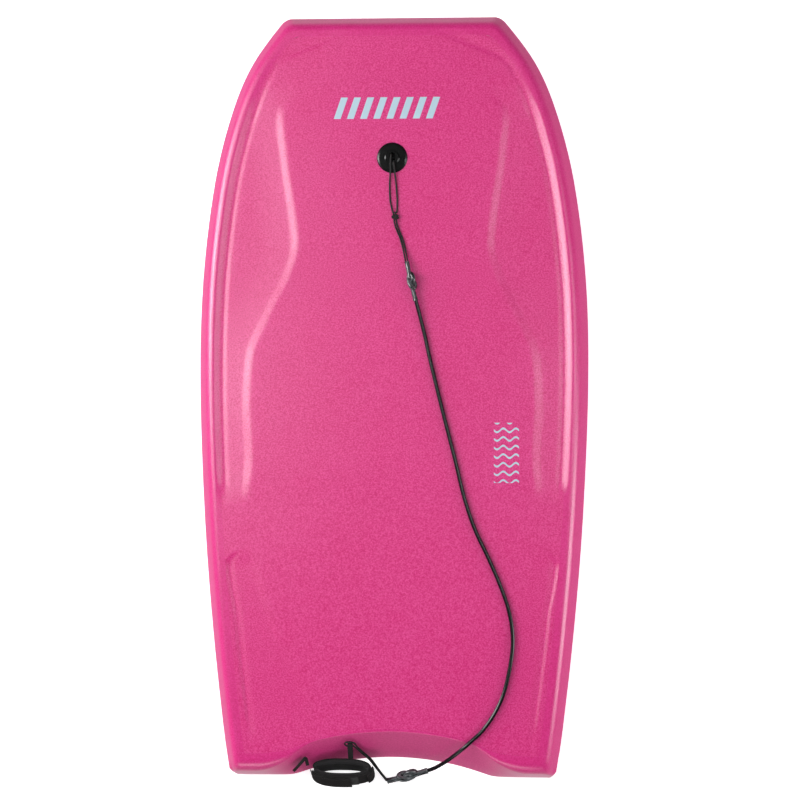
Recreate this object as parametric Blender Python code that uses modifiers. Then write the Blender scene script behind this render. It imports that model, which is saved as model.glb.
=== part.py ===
# Bodyboard with a wrist leash, lying deck up on its flat hull.
# +Z is up, +Y points to the nose and +X to the rider's right, in metres.
# The origin is on the underside of the hull, on the centreline, midway between nose and tail.
#
# The board is a foam core wrapped in four skins: slick hull, rail band, tail band and deck.
# The leash runs from the plug in the nose, over the deck and the tail, to the cuff on the floor.
import math

import bmesh
import bpy
from mathutils import Matrix, Vector

MM = 0.001
GAP = 0.3 * MM                      # air between two pieces that touch

# ---- board -------------------------------------------------------------------------------
LENGTH = 1.070
NOSE_Y = LENGTH / 2
TAIL_Y = -LENGTH / 2
THICKNESS = 55 * MM
# half width of the outline at its widest height, from tail to nose, as (y, half width);
# the first and last stations lie past the ends and only steer the curve
OUTLINE = [(-0.620, 0.213), (-0.535, 0.229), (-0.457, 0.2405), (-0.305, 0.257), (-0.152, 0.2685),
           (0.030, 0.275), (0.170, 0.2712), (0.305, 0.2546), (0.400, 0.2305), (0.470, 0.2005),
           (0.535, 0.1515), (0.600, 0.090)]
NOSE_CORNER = 14 * MM               # plan radius of the nose corners
TAIL_CORNER = 9 * MM                # plan radius of the tail corners
SIDE_STEPS = 26                     # stations along each side, the same in every layer

ROCKER_START = 0.100                # the hull is flat from the tail up to here
HULL_LIFT = 30 * MM                 # rise of the hull at the nose
NOSE_THINNING = 0.18                # share of the thickness lost at the nose

SLICK_THICKNESS = 1.5 * MM
SKIN_THICKNESS = 5 * MM
CHINE_HEIGHT = 24 * MM              # height of the board's widest line
LOWER_CHAMFER = 10 * MM             # how far the rail tucks under, in plan
UPPER_CHAMFER = 12.5 * MM           # how far the rail leans in above the chine, in plan
CREST_INSET = 17 * MM               # raised crest along the rail
VALLEY_INSET = 29.5 * MM            # seam between rail band and deck skin
VALLEY_DEPTH = 2.7 * MM
DECK_SHOULDER = 36 * MM             # the deck is back at full height from here inwards

CRESCENT_DEPTH = 26.7 * MM          # bite out of the tail at the centreline
CRESCENT_RADIUS = 0.370
TAIL_WALL_RUN = 42 * MM             # how far the tail wall leans in, at the centreline
TAIL_WALL_FOOT = 5 * MM             # upright foot of the tail wall
LEG_WALL_SHARE = 0.33               # the tail wall is this much as deep at the legs
LEG_START, LEG_END = 0.100, 0.190   # between these the tail wall steepens
TAIL_STATIONS = [0.012 * i for i in range(-16, 17)]
TAIL_BAND_ROWS = (0, 0.06, 0.417, 0.906, 1)     # its foot, the chine and the deck's underside

# ---- leash plug --------------------------------------------------------------------------
PLUG_Y = 0.336
PLUG_RADIUS = 21.4 * MM
PLUG_FLANGE = 2.6 * MM
STEM_RADIUS = 14.0 * MM
STEM_LENGTH = 34 * MM
BOSS_RADIUS = 9.9 * MM
BOSS_HEIGHT = 4.5 * MM              # above the deck
CUP_WIDTH, CUP_LENGTH, CUP_FLOOR = 8 * MM, 15 * MM, -10 * MM
BAR_RADIUS = 3.0 * MM
BAR_HEIGHT = 1.0 * MM               # bar axis above the deck
SCREW_RADIUS = 8.0 * MM
BORE_TOP = -16 * MM
SCREW_TOP = -24 * MM
NUT_FACE = -53.0 * MM               # lower flange, below the deck along the plug's axis
NUT_THICKNESS = 2.2 * MM
COIN_SLOT = (22 * MM, 2 * MM, 1.1 * MM)

# ---- leash -------------------------------------------------------------------------------
STRING_DIAMETER = 2.4 * MM
CORD_DIAMETER = 5.5 * MM
STRING_STEP = 6 * MM                # distance between the points of a string
CORD_STEP = 11 * MM

# one string, from the small knot up the left strand, round the plug's bar and back down
STRING_LOOP_ROUTE = [
    (0.0013, 0.2584, 0.0609), (-0.0012, 0.2680, 0.0598), (-0.0029, 0.2800, 0.0602),
    (-0.0033, 0.2980, 0.0612), (-0.0029, 0.3080, 0.0624), (-0.0025, 0.3150, 0.0638),
    (-0.0022, 0.3210, 0.0650), (-0.0021, 0.3262, 0.0668), (-0.0020, 0.3310, 0.0668),
    (-0.0019, 0.3360, 0.0666), (-0.0013, 0.3397, 0.0648), (-0.0006, 0.3406, 0.0615),
    (0.0002, 0.3392, 0.0585), (0.0010, 0.3360, 0.0571), (0.0017, 0.3326, 0.0585),
    (0.0019, 0.3307, 0.0620), (0.0019, 0.3305, 0.0650), (0.0023, 0.3287, 0.0674),
    (0.0028, 0.3252, 0.0674), (0.0033, 0.3205, 0.0656), (0.0039, 0.3150, 0.0638),
    (0.0048, 0.3070, 0.0622),
    (0.0062, 0.2930, 0.0609), (0.0071, 0.2780, 0.0601), (0.0070, 0.2670, 0.0598),
    (0.0066, 0.2584, 0.0609)]
# the same string below the knot: two strands side by side down to the upper sleeve
STRAND_SPACING = 2.9 * MM
STRAND_ROUTE = [
    (0.0045, 0.2474, 0.0612), (0.0062, 0.2400, 0.0595), (0.0092, 0.2320, 0.0588),
    (0.0136, 0.2210, 0.0584), (0.0172, 0.2070, 0.0592), (0.0207, 0.1906, 0.0624)]
CORD_ROUTE = [
    (0.0335, 0.1364, 0.0626), (0.0390, 0.1160, 0.0606), (0.0465, 0.0860, 0.0588),
    (0.0540, 0.0520, 0.0583), (0.0710, -0.0170, 0.0583), (0.0890, -0.0870, 0.0583),
    (0.1020, -0.1400, 0.0583), (0.1170, -0.1840, 0.0583), (0.1350, -0.2220, 0.0583),
    (0.1520, -0.2610, 0.0583), (0.1640, -0.2960, 0.0583), (0.1695, -0.3300, 0.0583),
    (0.1680, -0.3620, 0.0583), (0.1590, -0.4060, 0.0583), (0.1460, -0.4370, 0.0583),
    (0.1290, -0.4620, 0.0585), (0.1130, -0.4775, 0.0588), (0.1030, -0.4865, 0.0583),
    (0.0920, -0.4960, 0.0525), (0.0800, -0.5060, 0.0430), (0.0690, -0.5142, 0.0325),
    (0.0600, -0.5204, 0.0212), (0.0535, -0.5240, 0.0130), (0.0474, -0.5262, 0.0096)]
# one string, from the lower sleeve up to the cuff, through its keeper and back
CUFF_STRING_ROUTE = [
    (-0.0085, -0.5391, 0.0090), (-0.0170, -0.5290, 0.0098), (-0.0240, -0.5190, 0.0118),
    (-0.0310, -0.5092, 0.0158), (-0.0405, -0.4992, 0.0262), (-0.0470, -0.4912, 0.0375),
    (-0.0510, -0.4848, 0.0450), (-0.0547, -0.4826, 0.0473), (-0.0590, -0.4823, 0.0476),
    (-0.0630, -0.4828, 0.0472),
    (-0.0654, -0.4852, 0.0454), (-0.0630, -0.4878, 0.0437), (-0.0580, -0.4880, 0.0434),
    (-0.0540, -0.4887, 0.0428), (-0.0493, -0.4940, 0.0358), (-0.0428, -0.5018, 0.0243),
    (-0.0338, -0.5114, 0.0148), (-0.0266, -0.5212, 0.0098), (-0.0190, -0.5310, 0.0076),
    (-0.0088, -0.5418, 0.0068)]

STRING_KNOT_PLACE = (0.0040, 0.2530, 0.0620)
STRING_KNOT_RADII = (6.2 * MM, 4.8 * MM, 3.9 * MM)
# a sleeve knot is turned about the line between its ends, as (distance along, radius)
UPPER_KNOT_ENDS = ((0.0210, 0.1898, 0.0629), (0.0333, 0.1372, 0.0629))
UPPER_KNOT_SHAPE = [(0.0, 3.4), (12.0, 3.6), (17.0, 5.8), (22.0, 7.1), (29.0, 7.1),
                    (34.0, 5.9), (38.0, 4.1), (54.0, 3.4)]
LOWER_KNOT_ENDS = ((0.0456, -0.5269, 0.0092), (-0.0055, -0.5430, 0.0092))
LOWER_KNOT_SHAPE = [(0.0, 3.4), (15.0, 3.7), (19.0, 6.0), (24.0, 8.4), (31.0, 8.4),
                    (36.0, 6.4), (40.0, 4.6), (53.0, 4.4)]

# ---- cuff --------------------------------------------------------------------------------
CUFF_CENTRE = (-0.0705, -0.5355)    # of its lower rim, in plan
CUFF_HALF_LENGTH = 45.2 * MM
CUFF_HALF_DEPTH = 17.0 * MM
CUFF_ROUNDNESS = 2.5                # exponent of the cuff's oval
CUFF_FLOOR = 0.4 * MM
STRAP_WIDTH = 37.5 * MM
CUFF_LEAN = math.radians(25)        # the strap leans towards the board
WIDTHWAYS = Vector((0, math.sin(CUFF_LEAN), math.cos(CUFF_LEAN)))
# each layer as (from, to) round the cuff and (outer, inner) inset; round the cuff goes from 0
# at the left end, by 0.25 in front and 0.5 at the right end, to 0.75 at the back
FLAP = (0.012, 0.3085, 0.0, 1.4 * MM)
HOOK_PATCH = (0.165, 0.300, 1.7 * MM, 2.5 * MM)
LOOP_PATCH = (0.150, 0.360, 2.8 * MM, 3.6 * MM)
STRAP = (0.100, 0.985, 3.9 * MM, 5.2 * MM)
LINING = (0.060, 0.980, 5.5 * MM, 8.5 * MM)
STRAP_END = (0.425, 0.515, 0.5 * MM, 3.6 * MM)
HINGE_INSET = 0.7 * MM              # the flap peels open about this line at the left end

KEEPER_FOOT = Vector((-0.0580, -0.5042, 0.0310))
KEEPER_HEAD = Vector((-0.0580, -0.4865, 0.0444))
KEEPER_WIDTH = 7 * MM
KEEPER_RADIUS = 3.2 * MM
WEBBING = 1.2 * MM
TAB_ROUTE = [(-0.1185, -0.5172, 0.0285), (-0.1193, -0.5130, 0.0315), (-0.1202, -0.5078, 0.0352),
             (-0.1218, -0.5064, 0.0358), (-0.1235, -0.5088, 0.0350), (-0.1302, -0.5165, 0.0320),
             (-0.1385, -0.5255, 0.0275)]
TAB_HEIGHT = 8 * MM


# ---- helpers -----------------------------------------------------------------------------
def clear_scene():
    for old in list(bpy.data.objects):
        bpy.data.objects.remove(old)


def new_collection(name):
    group = bpy.data.collections.new(name)
    bpy.context.scene.collection.children.link(group)
    return group


def material(name, colour, roughness, metallic=0.0):
    made = bpy.data.materials.new(name)
    made.use_nodes = True
    shader = made.node_tree.nodes["Principled BSDF"]
    shader.inputs["Base Color"].default_value = (*colour, 1)
    shader.inputs["Roughness"].default_value = roughness
    shader.inputs["Metallic"].default_value = metallic
    return made


def add_object(name, data, group, finish=None):
    made = bpy.data.objects.new(name, data)
    group.objects.link(made)
    if finish:
        data.materials.append(finish)
    return made


def mesh_object(name, bm, group, finish=None, smooth=True):
    """Turn a bmesh into an object with its faces pointing out."""
    bmesh.ops.recalc_face_normals(bm, faces=bm.faces)
    mesh = bpy.data.meshes.new(name)
    bm.to_mesh(mesh)
    bm.free()
    if smooth:
        mesh.shade_smooth()
        mesh.set_sharp_from_angle(angle=math.radians(35))
    return add_object(name, mesh, group, finish)


def smoothstep(value, low, high):
    share = min(max((value - low) / (high - low), 0), 1)
    return share * share * (3 - 2 * share)


def smooth_value(stations, at):
    """Cubic through (position, value) stations, and its slope."""
    last = len(stations) - 3
    i = 1
    while i < last and at > stations[i + 1][0]:
        i += 1
    (ya, a), (y0, v0), (y1, v1), (yb, b) = stations[i - 1:i + 3]
    step = y1 - y0
    m0 = (v1 - a) / (y1 - ya) * step
    m1 = (b - v0) / (yb - y0) * step
    t = (at - y0) / step
    value = ((2 * t**3 - 3 * t**2 + 1) * v0 + (t**3 - 2 * t**2 + t) * m0
             + (3 * t**2 - 2 * t**3) * v1 + (t**3 - t**2) * m1)
    slope = ((6 * t**2 - 6 * t) * v0 + (3 * t**2 - 4 * t + 1) * m0
             + (6 * t - 6 * t**2) * v1 + (3 * t**2 - 2 * t) * m1) / step
    return value, slope


def smooth_route(route, step):
    """Evenly spaced points on a Catmull-Rom curve through a route's points."""
    points = [Vector(p) for p in route]
    points = [2 * points[0] - points[1]] + points + [2 * points[-1] - points[-2]]
    fine = []
    for a, b, c, d in zip(points, points[1:], points[2:], points[3:]):
        for k in range(12):
            t = k / 12
            fine.append(0.5 * (2 * b + (c - a) * t + (2 * a - 5 * b + 4 * c - d) * t**2
                               + (3 * b - a - 3 * c + d) * t**3))
    fine.append(points[-2])
    along = [0.0]
    for a, b in zip(fine, fine[1:]):
        along.append(along[-1] + (b - a).length)
    count = max(2, round(along[-1] / step))
    spaced = []
    j = 0
    for k in range(count + 1):
        target = along[-1] * k / count
        while j < len(fine) - 2 and along[j + 1] < target:
            j += 1
        share = (target - along[j]) / (along[j + 1] - along[j])
        spaced.append(fine[j].lerp(fine[j + 1], share))
    return spaced


def loft(name, sections, group, finish=None, closed=False):
    """Join sections of equal point counts with quads, and cap the ends."""
    bm = bmesh.new()
    rings = [[bm.verts.new(p) for p in section] for section in sections]
    if closed:
        rings.append(rings[0])
    count = len(rings[0])
    for low, high in zip(rings, rings[1:]):
        for i in range(count):
            j = (i + 1) % count
            bm.faces.new((low[i], low[j], high[j], high[i]))
    if not closed:
        bm.faces.new(rings[0])
        bm.faces.new(rings[-1])
    return mesh_object(name, bm, group, finish)


def tube(name, route, diameter, step, group, finish):
    """A cord's plain solid: a capped curve through evenly spaced points."""
    curve = bpy.data.curves.new(name, "CURVE")
    curve.dimensions = "3D"
    curve.bevel_depth = diameter / 2
    curve.bevel_resolution = 2
    curve.use_fill_caps = True
    points = smooth_route(route, step)
    spline = curve.splines.new("POLY")
    spline.points.add(len(points) - 1)
    for spot, point in zip(points, spline.points):
        point.co = (*spot, 1)
    return add_object(name, curve, group, finish)


def turned(name, profile, group, finish=None, steps=40):
    """Turn a profile of (radius, height), which runs down its outer side, about Z."""
    mesh = bpy.data.meshes.new(name)
    corners = [(radius, 0, height) for radius, height in profile]
    mesh.from_pydata(corners, [(i, i + 1) for i in range(len(corners) - 1)], [])
    made = add_object(name, mesh, group, finish)
    screw = made.modifiers.new("Turn", "SCREW")
    screw.steps = screw.render_steps = steps
    screw.use_merge_vertices = True
    screw.merge_threshold = 0.00001
    screw.use_smooth_shade = True
    return made


def boolean(target, tool, kind):
    cut = target.modifiers.new(kind.title(), "BOOLEAN")
    cut.operation = kind
    cut.object = tool
    cut.solver = "EXACT"


def as_cutter(made):
    made.hide_render = True
    made.display_type = "WIRE"
    return made


# ---- board geometry ----------------------------------------------------------------------
def rocker(point):
    """Bend a flat board's point up towards the nose, and thin it there."""
    share = max(0, (point[1] - ROCKER_START) / (NOSE_Y - ROCKER_START)) ** 2
    return Vector((point[0], point[1], point[2] * (1 - NOSE_THINNING * share) + HULL_LIFT * share))


def side_x(y, inset):
    """Half width of the outline, moved in by inset, with the nose corner rounded off."""
    value, slope = smooth_value(OUTLINE, y)
    x = value - inset * math.hypot(1, slope)
    to_nose = NOSE_Y - inset - y
    if to_nose < NOSE_CORNER:
        x -= NOSE_CORNER - math.sqrt(max(0, NOSE_CORNER**2 - (NOSE_CORNER - to_nose)**2))
    return x


def nose_stations(inset):
    """Heights along Y that round the nose corner evenly, ending on the nose line."""
    turns = [math.radians(a) for a in (0, 22.5, 45, 67.5, 90)]
    return [NOSE_Y - inset - NOSE_CORNER * (1 - math.sin(a)) for a in turns]


def crescent(x):
    """How far the tail's lower edge is bitten out at x."""
    bite = CRESCENT_DEPTH - x * x / (2 * CRESCENT_RADIUS)
    return 0.5 * (bite + math.hypot(bite, 3 * MM))


def tail_wall(x, z):
    """Y of the tail's outer surface at x and height z."""
    run = TAIL_WALL_RUN * (1 - (1 - LEG_WALL_SHARE) * smoothstep(abs(x), LEG_START, LEG_END))
    climb = min(max((z - TAIL_WALL_FOOT) / (THICKNESS - TAIL_WALL_FOOT), 0), 1)
    return TAIL_Y + crescent(x) + run * climb


def plate(name, rings, group, finish, tail_gap=GAP):
    """A board layer from (inset, height) rings: each ring follows the outline and the tail."""
    behind = SKIN_THICKNESS + tail_gap
    bm = bmesh.new()
    loops = []
    for inset, height in rings:
        start = tail_wall(side_x(TAIL_Y, inset), height) + behind
        stations = nose_stations(inset)
        run = stations[0] - start
        ys = [start + run * i / SIDE_STEPS for i in range(SIDE_STEPS)] + stations
        right = [(side_x(y, inset), y, height) for y in ys]
        left = [(-x, y, z) for x, y, z in reversed(right)]
        tail = [(x, tail_wall(x, height) + behind, height) for x in TAIL_STATIONS]
        loops.append([bm.verts.new(rocker(p)) for p in right + left + tail])
    for low, high in zip(loops, loops[1:]):
        for i in range(len(low)):
            j = (i + 1) % len(low)
            bm.faces.new((low[i], low[j], high[j], high[i]))
    pairs = SIDE_STEPS + len(stations)
    legs = 2                        # this many stations lie beside the crescent
    for loop in (loops[0], loops[-1]):
        for i in range(legs, pairs - 1):
            bm.faces.new((loop[i], loop[i + 1], loop[2 * pairs - 2 - i], loop[2 * pairs - 1 - i]))
        bm.faces.new(loop[:legs + 1] + loop[2 * pairs - 1 - legs:])
    return mesh_object(name, bm, group, finish)


def rail_section():
    """The rail band's cross-section as (inset, height): outside from hull to deck, and back."""
    low = SLICK_THICKNESS + GAP
    deck = THICKNESS
    flange = THICKNESS - SKIN_THICKNESS
    return [(LOWER_CHAMFER, low), (0, CHINE_HEIGHT), (UPPER_CHAMFER, deck - 3.4 * MM),
            (CREST_INSET - 2 * MM, deck - 0.5 * MM), (CREST_INSET + 1 * MM, deck),
            (CREST_INSET + 4.5 * MM, deck - 0.6 * MM), (VALLEY_INSET, deck - VALLEY_DEPTH),
            (VALLEY_INSET, flange), (20.5 * MM, flange),
            (SKIN_THICKNESS + 0.5 * MM, CHINE_HEIGHT), (LOWER_CHAMFER + 5.3 * MM, low)]


def rail_top(inset):
    """Height of the rail's upper surface, at an inset from the outline."""
    outside = rail_section()[1:7]
    for (a, za), (b, zb) in zip(outside, outside[1:]):
        if inset <= b:
            return za + (zb - za) * (inset - a) / (b - a)
    return THICKNESS - VALLEY_DEPTH + (VALLEY_DEPTH * smoothstep(inset, VALLEY_INSET, DECK_SHOULDER))


def rail_band(group, finish):
    """The skin of both rails and the nose: one section led round the outline."""
    profile = rail_section()
    sections = []
    for i in range(SIDE_STEPS):
        section = []
        for inset, height in profile:
            start = tail_wall(side_x(TAIL_Y, inset), height) + SKIN_THICKNESS + GAP
            end = nose_stations(inset)[0]
            y = start + (end - start) * i / SIDE_STEPS
            section.append((side_x(y, inset), y, height))
        sections.append(section)
    for k in range(5):
        ring = []
        for inset, height in profile:
            y = nose_stations(inset)[k]
            ring.append((side_x(y, inset), y, height))
        sections.append(ring)
    nose_steps = 4
    for k in range(1, nose_steps + 1):
        share = 1 - k / nose_steps
        sections.append([(x * share, y, z) for x, y, z in ring])
    mirrored = [[(-x, y, z) for x, y, z in section] for section in reversed(sections[:-1])]
    bent = [[rocker(p) for p in section] for section in sections + mirrored]
    return loft("rail_band", bent, group, finish)


def tail_band(group, finish):
    """The skin of the tail wall, from rail to rail."""
    width = side_x(TAIL_Y, 0)
    ends = [width - inset * MM for inset in (29.5, 25, 21.5, 18, 15, 12.5, 9, 6, 3.5, 2.2, 1.3)]
    low = SLICK_THICKNESS + GAP
    sections = []
    for x in [-end for end in reversed(ends)] + TAIL_STATIONS + ends:
        inset = width - abs(x)
        corner = 0
        if inset < TAIL_CORNER:
            corner = TAIL_CORNER - math.sqrt(TAIL_CORNER**2 - (TAIL_CORNER - inset)**2)
        bottom = max(low, CHINE_HEIGHT - (CHINE_HEIGHT - low) * inset / LOWER_CHAMFER)
        top = rail_top(inset)
        heights = [bottom + (top - bottom) * share for share in TAIL_BAND_ROWS]
        outer = [(x, tail_wall(x, z) + corner, z) for z in heights]
        inner = [(x, tail_wall(x, z) + SKIN_THICKNESS, z) for z in reversed(heights)]
        sections.append(outer + inner)
    return loft("tail_band", sections, group, finish)


# ---- leash plug --------------------------------------------------------------------------
def plug_frame():
    """Place and tilt of the plug: its Z axis is square to the deck."""
    here = rocker((0, PLUG_Y, THICKNESS))
    ahead = rocker((0, PLUG_Y + MM, THICKNESS))
    tilt = math.atan2(ahead.z - here.z, MM)
    return Matrix.Translation(here) @ Matrix.Rotation(tilt, 4, "X")


def cylinder(name, radius, low, high, group, along="Z", sides=32):
    bm = bmesh.new()
    bmesh.ops.create_cone(bm, cap_ends=True, segments=sides, radius1=radius, radius2=radius,
                          depth=high - low)
    bmesh.ops.translate(bm, verts=bm.verts, vec=(0, 0, (low + high) / 2))
    if along == "X":
        bmesh.ops.rotate(bm, verts=bm.verts, matrix=Matrix.Rotation(math.pi / 2, 3, "Y"))
    return mesh_object(name, bm, group)


def cup_cutter(group):
    """A slot with round ends, open at the top of the plug."""
    bm = bmesh.new()
    bmesh.ops.create_cube(bm, size=1)
    height = 3 * BOSS_HEIGHT - CUP_FLOOR
    bmesh.ops.scale(bm, verts=bm.verts, vec=(CUP_WIDTH, CUP_LENGTH, height))
    bmesh.ops.translate(bm, verts=bm.verts, vec=(0, 0, CUP_FLOOR + height / 2))
    upright = [e for e in bm.edges if abs(e.verts[0].co.z - e.verts[1].co.z) > MM]
    bmesh.ops.bevel(bm, geom=upright, offset=CUP_WIDTH / 2 - 0.3 * MM, segments=4, profile=0.5,
                    affect="EDGES")
    return as_cutter(mesh_object("cup_cutter", bm, group))


def plug_top(frame, group, cutters, finish):
    top = PLUG_FLANGE
    profile = [(0, BOSS_HEIGHT), (BOSS_RADIUS - 1 * MM, BOSS_HEIGHT),
               (BOSS_RADIUS - 0.3 * MM, BOSS_HEIGHT - 0.5 * MM), (BOSS_RADIUS, top + 0.4 * MM),
               (BOSS_RADIUS + 0.6 * MM, top + 0.1 * MM), (PLUG_RADIUS - 3 * MM, top),
               (PLUG_RADIUS - 0.9 * MM, top - 0.7 * MM), (PLUG_RADIUS, GAP + 0.6 * MM),
               (PLUG_RADIUS, GAP), (STEM_RADIUS, GAP), (STEM_RADIUS, -STEM_LENGTH),
               (SCREW_RADIUS + GAP, -STEM_LENGTH), (SCREW_RADIUS + GAP, BORE_TOP), (0, BORE_TOP)]
    made = turned("plug_top", profile, group, finish)
    half = CUP_WIDTH / 2 + 0.8 * MM
    bar = as_cutter(cylinder("bar_core", BAR_RADIUS, -half, half, cutters, along="X", sides=20))
    cup = cup_cutter(cutters)
    boolean(made, cup, "DIFFERENCE")
    boolean(made, bar, "UNION")
    made.matrix_world = cup.matrix_world = frame
    bar.matrix_world = frame @ Matrix.Translation((0, 0, BAR_HEIGHT))
    return made


def plug_bottom(frame, group, cutters, finish):
    low = NUT_FACE - NUT_THICKNESS
    profile = [(0, SCREW_TOP), (SCREW_RADIUS - 0.8 * MM, SCREW_TOP),
               (SCREW_RADIUS, SCREW_TOP - 0.8 * MM), (SCREW_RADIUS, NUT_FACE),
               (PLUG_RADIUS, NUT_FACE), (PLUG_RADIUS, NUT_FACE - 0.6 * MM),
               (PLUG_RADIUS - 1.5 * MM, low), (0, low)]
    made = turned("plug_bottom", profile, group, finish)
    bm = bmesh.new()
    bmesh.ops.create_cube(bm, size=1)
    length, width, depth = COIN_SLOT
    bmesh.ops.scale(bm, verts=bm.verts, vec=(length, width, 2 * depth))
    slot = as_cutter(mesh_object("coin_slot_cutter", bm, cutters, smooth=False))
    boolean(made, slot, "DIFFERENCE")
    made.matrix_world = frame
    slot.matrix_world = frame @ Matrix.Translation((0, 0, low))
    return made


# ---- leash -------------------------------------------------------------------------------
def string_knot(group, finish):
    bm = bmesh.new()
    bmesh.ops.create_uvsphere(bm, u_segments=16, v_segments=10, radius=1)
    bmesh.ops.scale(bm, verts=bm.verts, vec=STRING_KNOT_RADII)
    made = mesh_object("string_knot", bm, group, finish)
    made.location = STRING_KNOT_PLACE
    return made


def sleeve_knot(name, ends, shape, group, finish):
    """A tube sleeve tied in a knot, as one turned solid between its two ends."""
    start, end = Vector(ends[0]), Vector(ends[1])
    length = (end - start).length
    stretch = length / (shape[-1][0] * MM)
    profile = [(0, length)]
    profile += [(radius * MM, along * MM * stretch) for along, radius in reversed(shape)]
    profile.append((0, 0))
    made = turned(name, profile, group, finish, steps=18)
    turn = (end - start).to_track_quat("Z", "Y").to_matrix().to_4x4()
    made.matrix_world = Matrix.Translation(start) @ turn
    return made


def beside(route, offset):
    """The route moved sideways by offset, level with the deck."""
    points = [Vector(p) for p in route]
    moved = []
    for i, point in enumerate(points):
        ahead = points[min(i + 1, len(points) - 1)] - points[max(i - 1, 0)]
        moved.append(point + Vector((-ahead.y, ahead.x, 0)).normalized() * offset)
    return moved


# ---- cuff --------------------------------------------------------------------------------
def cuff_outline():
    """Fine points round the cuff's lower rim, from the left end by the front."""
    fine = []
    count = 720
    power = 2 / CUFF_ROUNDNESS
    for k in range(count + 1):
        turn = math.pi + 2 * math.pi * k / count
        c, s = math.cos(turn), math.sin(turn)
        x = CUFF_HALF_LENGTH * math.copysign(abs(c) ** power, c)
        y = CUFF_HALF_DEPTH * math.copysign(abs(s) ** power, s)
        fine.append(Vector((CUFF_CENTRE[0] + x, CUFF_CENTRE[1] + y, CUFF_FLOOR)))
    return fine


def cuff_points(start, end, insets, count):
    """For each inset, evenly spaced points along the rim between two shares of its length."""
    fine = cuff_outline()
    along = [0.0]
    for a, b in zip(fine, fine[1:]):
        along.append(along[-1] + (b - a).length)
    rows = [[] for _ in insets]
    for k in range(count + 1):
        target = along[-1] * (start + (end - start) * k / count)
        j = max(i for i in range(len(fine) - 1) if along[i] <= target)
        share = (target - along[j]) / (along[j + 1] - along[j])
        spot = fine[j].lerp(fine[j + 1], share)
        before, after = fine[(j - 6) % 720], fine[(j + 7) % 720]
        inward = Vector((before.y - after.y, after.x - before.x, 0)).normalized()
        for row, inset in zip(rows, insets):
            row.append(spot + inward * inset)
    return rows


def cuff_layer(name, layer, group, finish, count, trim=0.0):
    """One ply of the cuff, leaning with it; trim narrows it at both edges."""
    start, end, outer, inner = layer
    outside, inside = cuff_points(start, end, (outer, inner), count)
    low, high = WIDTHWAYS * trim, WIDTHWAYS * (STRAP_WIDTH - trim)
    sections = [(a + low, b + low, b + high, a + high) for a, b in zip(outside, inside)]
    return loft(name, sections, group, finish)


def set_on_hinge(made):
    """Move a piece's origin to the flap's hinge line, at the cuff's left end."""
    x = CUFF_CENTRE[0] - CUFF_HALF_LENGTH + HINGE_INSET
    foot = Vector((x, CUFF_CENTRE[1], CUFF_FLOOR))
    middle = foot + WIDTHWAYS * STRAP_WIDTH / 2
    made.data.transform(Matrix.Translation(-middle))
    made.location = middle


def keeper(group, finish):
    """A loop of narrow webbing that stands up from the back of the cuff."""
    along = (KEEPER_HEAD - KEEPER_FOOT).normalized()
    across = Vector((1, 0, 0))
    out = across.cross(along)
    half = across * KEEPER_WIDTH / 2
    sections = []
    for middle, side in ((KEEPER_HEAD, 1), (KEEPER_FOOT, -1)):
        for k in range(9):
            turn = math.pi * k / 8
            ray = side * (out * math.cos(turn) + along * math.sin(turn))
            near, far = ray * (KEEPER_RADIUS - WEBBING), ray * KEEPER_RADIUS
            sections.append((middle + near - half, middle + far - half,
                             middle + far + half, middle + near + half))
    return loft("cuff_keeper", sections, group, finish, closed=True)


def pull_tab(group, finish):
    """A folded tab of webbing on edge, from the cuff's left end."""
    points = smooth_route(TAB_ROUTE, 3 * MM)
    sections = []
    for i, point in enumerate(points):
        ahead = points[min(i + 1, len(points) - 1)] - points[max(i - 1, 0)]
        side = Vector((-ahead.y, ahead.x, 0)).normalized() * WEBBING / 2
        rise = Vector((0, 0, TAB_HEIGHT))
        sections.append((point - side, point + side, point + side + rise, point - side + rise))
    return loft("cuff_pull_tab", sections, group, finish)


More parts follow.
